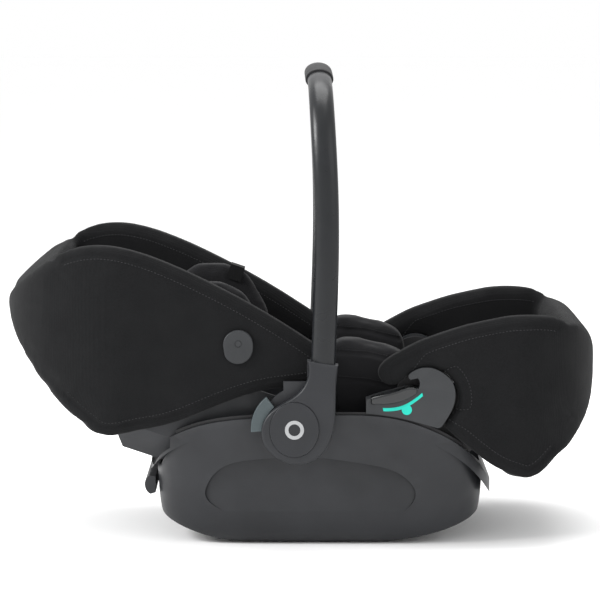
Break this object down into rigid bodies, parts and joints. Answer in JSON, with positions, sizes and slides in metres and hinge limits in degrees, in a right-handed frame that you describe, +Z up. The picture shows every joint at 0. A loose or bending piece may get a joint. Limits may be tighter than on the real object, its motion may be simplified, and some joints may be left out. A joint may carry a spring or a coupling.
{
  "type": "infant car seat",
  "caption": "Lie-flat infant carrier: rocker shell, arched carry handle, padded side wings, hinged backrest and leg rest, headrest, harness and belt guides.",
  "frame": {"origin": "on the floor under the middle of the seat, straight below the handle and backrest axis", "axes": "+X to the feet, +Y to the child's left, +Z up"},
  "size_m": [0.7681, 0.4448, 0.6131],
  "materials": {
    "shell_plastic": "satin moulded dark grey",
    "trim_plastic": "black moulded edging",
    "foot_rubber": "soft black rubber",
    "steel": "drawn steel",
    "handle_metal": "satin powder coat, dark grey",
    "hub_plastic": "satin moulded dark grey",
    "ring_inlay": "light grey inlay",
    "button_plastic": "grey-green keys",
    "grip_skin": "black grained grip",
    "guide_plastic": "satin mid-grey panel",
    "hook_plastic": "gloss black hook",
    "marker": "teal belt marker",
    "fabric": "charcoal woven cover",
    "inner_fabric": "charcoal jersey inner cover",
    "foam": "energy-absorbing foam",
    "webbing": "black webbing",
    "pan_plastic": "black moulded structure",
    "buckle_plastic": "black buckle",
    "buckle_red": "red press button"
  },
  "bodies": {
    "base": {"rocker_shell": "shell_plastic", "rim_trim": "trim_plastic", "rubber_feet": "foot_rubber", "anchor_bars": "steel", "hub_brackets": "hub_plastic", "pivot_pins": "steel", "pivot_spacers": "pan_plastic", "seat_pan": "pan_plastic", "seat_foam": "foam", "seat_cushion": "inner_fabric", "seat_bolster_left": "inner_fabric", "seat_bolster_right": "inner_fabric", "seat_uprights": "pan_plastic", "belt_guide_left": "guide_plastic", "belt_guide_right": "guide_plastic", "belt_hooks": "hook_plastic", "belt_markers": "marker", "leg_pins": "steel", "buckle_body": "buckle_plastic", "buckle_tongues": "steel", "crotch_strap": "webbing", "adjuster_housing": "pan_plastic"},
    "handle": {"handle_tube": "handle_metal", "grip_sleeve": "grip_skin", "handle_arm_left": "hub_plastic", "handle_arm_right": "hub_plastic", "hub_caps": "hub_plastic", "hub_rings": "ring_inlay", "release_springs": "steel"},
    "button_right": {"release_button_right": "button_plastic"},
    "button_left": {"release_button_left": "button_plastic"},
    "backrest": {"back_shell": "shell_plastic", "back_foam": "foam", "back_pad": "inner_fabric", "back_wing_left": "fabric", "back_wing_right": "fabric", "head_end_bolster": "fabric", "side_foam": "inner_fabric", "canopy_mounts": "guide_plastic", "shoulder_straps": "webbing", "chest_pads": "inner_fabric"},
    "headrest": {"headrest_shell": "pan_plastic", "headrest_pad": "inner_fabric", "headrest_wing_left": "inner_fabric", "headrest_wing_right": "inner_fabric", "headrest_tag": "webbing"},
    "headrest_release": {"headrest_lever": "pan_plastic"},
    "leg_rest": {"leg_wing_left": "fabric", "leg_wing_right": "fabric", "leg_tray": "shell_plastic", "leg_pad": "inner_fabric", "foot_end_bolster": "fabric"},
    "recline_pull": {"recline_lever": "shell_plastic"},
    "buckle_press": {"buckle_button": "buckle_red"},
    "adjuster_press": {"adjuster_button": "button_plastic"},
    "base_release": {"release_handle": "shell_plastic"}
  },
  "joints": [
    {"name": "handle_swing", "type": "hinge", "parent": "base", "child": "handle", "pos_m": [0, 0, 0.158], "axis": [0, 1, 0], "range_deg": [-108, 0]},
    {"name": "backrest_recline", "type": "hinge", "parent": "base", "child": "backrest", "pos_m": [0, 0, 0.158], "axis": [0, 1, 0], "range_deg": [0, 25]},
    {"name": "leg_rest_tilt", "type": "hinge", "parent": "base", "child": "leg_rest", "pos_m": [0.17, 0, 0.193], "axis": [0, 1, 0], "range_deg": [0, 2]},
    {"name": "handle_release_right", "type": "slide", "parent": "handle", "child": "button_right", "axis": [0.9171, 0, -0.3987], "range_m": [0, 0.003], "stiffness_N_per_m": 400, "springref_m": -0.002},
    {"name": "handle_release_left", "type": "slide", "parent": "handle", "child": "button_left", "axis": [0.9171, 0, -0.3987], "range_m": [0, 0.003], "stiffness_N_per_m": 400, "springref_m": -0.002},
    {"name": "headrest_height", "type": "slide", "parent": "backrest", "child": "headrest", "axis": [-0.9483, 0, 0.3173], "range_m": [0, 0.05]},
    {"name": "headrest_unlock", "type": "slide", "parent": "headrest", "child": "headrest_release", "axis": [-0.9483, 0, 0.3173], "range_m": [0, 0.004], "stiffness_N_per_m": 400, "springref_m": -0.003},
    {"name": "recline_unlock", "type": "slide", "parent": "leg_rest", "child": "recline_pull", "axis": [0.766, 0, -0.6428], "range_m": [0, 0.006], "stiffness_N_per_m": 600, "springref_m": -0.004},
    {"name": "buckle_release", "type": "slide", "parent": "base", "child": "buckle_press", "axis": [0.2419, 0, -0.9703], "range_m": [0, 0.003], "stiffness_N_per_m": 400, "springref_m": -0.002},
    {"name": "harness_adjust", "type": "slide", "parent": "base", "child": "adjuster_press", "axis": [0.2419, 0, -0.9703], "range_m": [0, 0.002], "stiffness_N_per_m": 400, "springref_m": -0.002},
    {"name": "base_unlatch", "type": "slide", "parent": "base", "child": "base_release", "axis": [0, 0, 1], "range_m": [0, 0.005], "stiffness_N_per_m": 500, "springref_m": -0.008}
  ],
  "couplings": [
    {"joint": "leg_rest_tilt", "follows": "backrest_recline", "ratio": 0.08}
  ]
}
